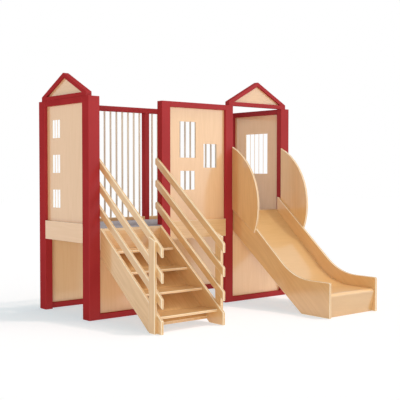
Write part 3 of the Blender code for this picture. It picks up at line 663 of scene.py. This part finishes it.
def finish_board(node, material, along, rounding, outer_only=False, cut=None):
    """A copy of a measured piece with softened edges, grain and finish; cut is for its sawn faces."""
    board = parts[node].copy()
    board.data = parts[node].data.copy()
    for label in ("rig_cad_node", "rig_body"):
        del board[label]
    board.parent = None
    board.name = f"finished_{node}"
    bpy.context.scene.collection.objects.link(board)
    make_active(board)
    board.data.materials.clear()
    board.data.materials.append(material)
    board.data.materials.append(cut or material)
    round_edges(board, rounding, outer_only)

    low, high = corners([vert.co for vert in board.data.vertices])
    thin = min(range(3), key=lambda axis: high[axis] - low[axis])
    marked = board.data.attributes.new("edge", "FLOAT", "FACE")
    for value, face in zip(marked.data, board.data.polygons):
        value.value = float(face.material_index)
        face.material_index = 1 if cut and abs(face.normal[thin]) < SAME_WAY else 0
    if not cut:
        board.data.materials.pop(index=1)
    add_grain(board, along)
    smooth(board)
    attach(board, "root")
    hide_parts(node)
    made.append(board.name)
    return board


print("helper ready: finish_board")

# %% [markdown]
# ## Red frame
#
# Posts stand on the floor and rails lie between them. They have grooves that hold the wall panels, so
# only their outer edges are rounded. The three members of a gable frame are one mitred triangle. The
# grain runs upright in the posts and level in the rails.

# %% Posts and rails
FRAME_ROUNDING = 0.003
GABLE_ROUNDING = 0.0025

posts = [node for node in parts if node.startswith("post_")]
front_rails = ["mid_top_rail", "back_top_rail", "stair_bay_bottom_rail", "tower_bottom_rail"]
front_rails += ["back_left_bottom_rail", "back_right_bottom_rail"]
side_rails = ["left_top_rail", "end_top_rail"]
for nodes, along in ((posts, UPRIGHT), (front_rails, ALONG_X), (side_rails, ALONG_Y)):
    for node in nodes:
        finish_board(node, RED_PAINT, along, FRAME_ROUNDING, outer_only=True)
for node, along in (("left_gable_frame", ALONG_Y), ("tower_gable_frame", ALONG_X)):
    finish_board(node, RED_PAINT, along, GABLE_ROUNDING)
print("red pieces:", len(made))

# %% [markdown]
# ## Wall panels
#
# The panels are birch plywood, 9 mm thick, let into the grooves of the frame. Their faces show an
# upright grain. In the windows the cut layers of the plywood are visible, so these faces get the other
# material. Sawn plywood has crisp edges, so the rounding is less than a millimetre.

# %% Wall panels
SHEET_ROUNDING = 0.0008

panels = [node for node in parts if node.endswith("_panel")]
# These panels take the paler plywoods, which carry painted light.
other_sheets = {
    "back_left_panel": BACK_PLY,
    "back_right_panel": BACK_PLY,
    "tower_lower_panel": LOWER_PLY,
    "end_window_panel": END_PLY,
}
for node in panels:
    ply = other_sheets.get(node, PANEL_PLY)
    finish_board(node, ply, UPRIGHT, SHEET_ROUNDING, cut=PLY_EDGE)
for node, along in (("left_gable_infill", ALONG_Y), ("tower_gable_infill", ALONG_X)):
    finish_board(node, GABLE_PLY, along, SHEET_ROUNDING, cut=PLY_EDGE)
print("panels:", panels)

# %% [markdown]
# ## Boards of the deck
#
# A fascia board covers the deck's edge in each bay, and a sill closes the step between the deck and the
# head of the slide. Bearers and joists under the plywood carry the deck. They hardly show, so they only
# need the same simple finish. The carpet is cut from a roll and keeps a fairly crisp edge.

# %% Fascias, sill and deck
FASCIA_ROUNDING = 0.003
BEARER_ROUNDING = 0.002
CARPET_ROUNDING = 0.0012

for node in ("mid_fascia", "stair_top_riser"):
    finish_board(node, STAIR_BOARD, ALONG_X, FASCIA_ROUNDING)
# The sill takes the paler end ply, as painted light.
finish_board("slide_sill", END_PLY, ALONG_X, FASCIA_ROUNDING)
for node in ("left_fascia", "end_fascia"):
    finish_board(node, PANEL_PLY, ALONG_Y, FASCIA_ROUNDING)
for node in ("deck_bearer_front", "deck_bearer_back"):
    finish_board(node, STAIR_BOARD, ALONG_X, BEARER_ROUNDING)
for node in ("deck_joist_1", "deck_joist_2"):
    finish_board(node, STAIR_BOARD, ALONG_Y, BEARER_ROUNDING)
finish_board("deck_board", PANEL_PLY, ALONG_X, SHEET_ROUNDING, cut=PLY_EDGE)
finish_board("deck_carpet", CARPET, ALONG_X, CARPET_ROUNDING)
print("pieces so far:", len(made))

# %% [markdown]
# ## Stair
#
# Two stringers carry four treads. The stringers and handrails slope at about 38 degrees, and their grain
# slopes with them. Children's hands run along the handrails, so these are rounded the most. The backing
# board behind the treads is hidden from hands and keeps a narrow rounding.

# %% Stair
STAIR_RISE = 0.180
STAIR_GOING = 0.2305
STRINGER_ROUNDING = 0.006
HANDRAIL_ROUNDING = 0.008
TREAD_ROUNDING = 0.005
BACKING_ROUNDING = 0.002
stair_slope = Vector((0, STAIR_GOING, STAIR_RISE)).normalized()

for side in ("left", "right"):
    finish_board(f"stair_stringer_{side}", STAIR_BOARD, stair_slope, STRINGER_ROUNDING)
    finish_board(f"stair_newel_{side}", STAIR_BOARD, UPRIGHT, STRINGER_ROUNDING)
    for rail in (1, 2, 3):
        finish_board(f"stair_handrail_{side}_{rail}", STAIR_BOARD, stair_slope, HANDRAIL_ROUNDING)
for step in (1, 2, 3, 4):
    finish_board(f"stair_tread_{step}", TREAD_BOARD, ALONG_X, TREAD_ROUNDING)
finish_board("stair_backing_board", STAIR_BOARD, stair_slope, BACKING_ROUNDING)
print("slope of the stair:", stair_slope)

# %% [markdown]
# ## Sides of the slide
#
# The side boards and the round guards are cut from thick board. They could be drawn anew as outlines, but
# the measured boards have the exact curves, so they are finished as the other boards are. The grain
# follows the slope of the side boards and stands upright in the guards. The right board and guard have a
# paler wood of their own: painted light, for the light that the bed throws on them.

# %% Side boards and guards
SLIDE_GOING = 1.0
SLIDE_DROP = 0.85
SLIDE_ROUNDING = 0.006
slide_slope = Vector((0, SLIDE_GOING, SLIDE_DROP)).normalized()

for side, wood in (("left", SLIDE_BOARD), ("right", SLIDE_FAR)):
    finish_board(f"slide_side_{side}", wood, slide_slope, SLIDE_ROUNDING)
    finish_board(f"slide_wing_{side}", wood, UPRIGHT, SLIDE_ROUNDING)
print("slope of the slide:", slide_slope)

# %% [markdown]
# ## Bed of the slide
#
# The bed is one bent sheet: a sheet bends easily across its grain, so the grain runs from side to side.
# Straight coordinates would smear the grain where the sheet turns up or down, so they are written one by
# one: the first runs across the slide, and the second changes all the way down it. From a little below
# its head the bed is painted paler and paler, and it is palest near its foot: painted light, for more
# light than these lamps throw on it. Its upright apron keeps one tone.

# %% Slide bed
BED_ROUNDING = 0.0015
BED_SHIFT = (3.1, 0.2)
PATH_PER_METRE_OUT = 1.2
PATH_PER_METRE_UP = 0.5
# The bed is painted paler from the first of these places along Y to the second, as painted light.
PAINTED_LIGHT_START = -0.10
PAINTED_LIGHT_END = -0.85

bed = finish_board("slide_bed", SLIDE_BED, ALONG_X, BED_ROUNDING)
grain = bed.data.attributes["grain"]
for value, vert in zip(grain.data, bed.data.vertices):
    path_down = vert.co.y * PATH_PER_METRE_OUT + vert.co.z * PATH_PER_METRE_UP
    value.vector = Vector((vert.co.x + BED_SHIFT[0], path_down, BED_SHIFT[1]))
bed.data.attributes.remove(bed.data.attributes["edge"])
# The bed's edge mark holds its painted light, rising towards the foot.
bed_painted_light = bed.data.attributes.new("edge", "FLOAT", "POINT")
for value, vert in zip(bed_painted_light.data, bed.data.vertices):
    value.value = min(1.0, max(0.0, (vert.co.y - PAINTED_LIGHT_START) / (PAINTED_LIGHT_END - PAINTED_LIGHT_START)))
bed.data.materials.append(SLIDE_APRON)
for face in bed.data.polygons:
    face.material_index = 1 if face.normal.y < -SAME_WAY else 0
print("slide bed:", bed.name)

# %% [markdown]
# ## Rail of the balustrade
#
# Along the back, round spindles stand in a wooden rail in each bay. In the measured model a bay is one
# piece. Here the rail is made anew, from a box with bevelled edges, so that the rail and each spindle have
# a grain of their own.

# %% Helper: balustrade rail
RAIL_HEIGHT = 0.062
RAIL_ROUNDING = 0.004
QUITE_FLAT = 0.999


def balustrade_rail(node, low, high):
    """The rail between these corners of its bay; returns the height of its top."""
    rail_top = low.z + RAIL_HEIGHT
    middle = ((low.x + high.x) / 2, (low.y + high.y) / 2, rail_top - RAIL_HEIGHT / 2)
    bpy.ops.object.select_all(action="DESELECT")
    bpy.ops.mesh.primitive_cube_add(size=1, location=middle)
    rail = bpy.context.active_object
    rail.scale = (high.x - low.x, high.y - low.y, RAIL_HEIGHT)
    bpy.ops.object.transform_apply(location=True, rotation=True, scale=True)
    bpy.ops.object.mode_set(mode="EDIT")
    bpy.ops.mesh.select_all(action="SELECT")
    bpy.ops.mesh.bevel(offset=RAIL_ROUNDING, segments=3, profile=0.5)
    bpy.ops.object.mode_set(mode="OBJECT")
    marked = rail.data.attributes.new("edge", "FLOAT", "FACE")
    for value, face in zip(marked.data, rail.data.polygons):
        value.value = 0.0 if max(abs(part) for part in face.normal) > QUITE_FLAT else 1.0
    add_grain(rail, ALONG_X)
    rail.data.materials.append(STAIR_BOARD)
    smooth(rail)
    rail.name = f"{node}_rail"
    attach(rail, "root")
    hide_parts(node)
    made.append(rail.name)
    return rail_top


print("helper ready: balustrade_rail")

# %% [markdown]
# ## Spindles
#
# A spindle is a round rod with slightly softened ends. It starts as a cylinder whose height is the gap
# between the two rails. Then the edges of its ends, where faces meet most sharply, are bevelled.

# %% Helper: spindle
SPINDLE_RADIUS = 0.011
SPINDLE_SIDES = 20
SPINDLE_ROUNDING = 0.0012


def spindle_pattern(middle, height):
    """The first spindle of a bay, with both ends rounded."""
    bpy.ops.object.select_all(action="DESELECT")
    bpy.ops.mesh.primitive_cylinder_add(
        vertices=SPINDLE_SIDES, radius=SPINDLE_RADIUS, depth=height, location=middle
    )
    pattern = bpy.context.active_object
    bpy.ops.object.transform_apply(location=True, rotation=True, scale=True)
    bpy.ops.object.mode_set(mode="EDIT")
    bpy.ops.mesh.select_mode(type="EDGE")
    bpy.ops.mesh.select_all(action="DESELECT")
    shape = bmesh.from_edit_mesh(pattern.data)
    for edge in shape.edges:
        edge.select_set(edge.calc_face_angle() > SHARP)
    bmesh.update_edit_mesh(pattern.data)
    bpy.ops.mesh.bevel(offset=SPINDLE_ROUNDING, segments=2, profile=0.5)
    bpy.ops.object.mode_set(mode="OBJECT")
    pattern.data.attributes.new("edge", "FLOAT", "FACE")
    pattern.data.materials.append(DOWEL)
    return pattern


print("helper ready: spindle_pattern")

# %% [markdown]
# ## Both bays of the balustrade
#
# A bay has 14 or 15 spindles that are all alike. So one is modelled for each bay and then copied, each
# copy with its own mesh and its own grain. They are set out from the middle post, and their spacing is a
# little wider in the right bay than in the left one.

# %% Balustrade
SPINDLE_BAYS = (
    {"node": "balustrade_left", "away": -1, "inset": 0.055, "spacing": 0.0796, "count": 14},
    {"node": "balustrade_right", "away": 1, "inset": 0.062, "spacing": 0.0824, "count": 15},
)


def finish_balustrade(node, away, inset, spacing, count):
    """A rail with its spindles, set out from the middle post; away is the direction along X."""
    low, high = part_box(node)
    rail_top = balustrade_rail(node, low, high)
    height = high.z - rail_top
    first = (low.x if away > 0 else high.x) + away * inset
    pattern = spindle_pattern((first, (low.y + high.y) / 2, rail_top + height / 2), height)
    for number in range(count):
        spindle = pattern.copy()
        spindle.data = pattern.data.copy()
        spindle.location.x = number * away * spacing
        bpy.context.scene.collection.objects.link(spindle)
        make_active(spindle)
        bpy.ops.object.transform_apply(location=True, rotation=True, scale=True)
        add_grain(spindle, UPRIGHT)
        smooth(spindle)
        spindle.name = f"{node}_spindle_{number + 1}"
        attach(spindle, "root")
        made.append(spindle.name)
    bpy.data.objects.remove(pattern)


for bay in SPINDLE_BAYS:
    finish_balustrade(**bay)
print("pieces made:", len(made))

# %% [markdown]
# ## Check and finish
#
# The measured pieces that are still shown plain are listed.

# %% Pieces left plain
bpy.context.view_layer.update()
left_plain = sorted(node for node in parts if not parts[node].hide_render)
print("still plain:", left_plain)
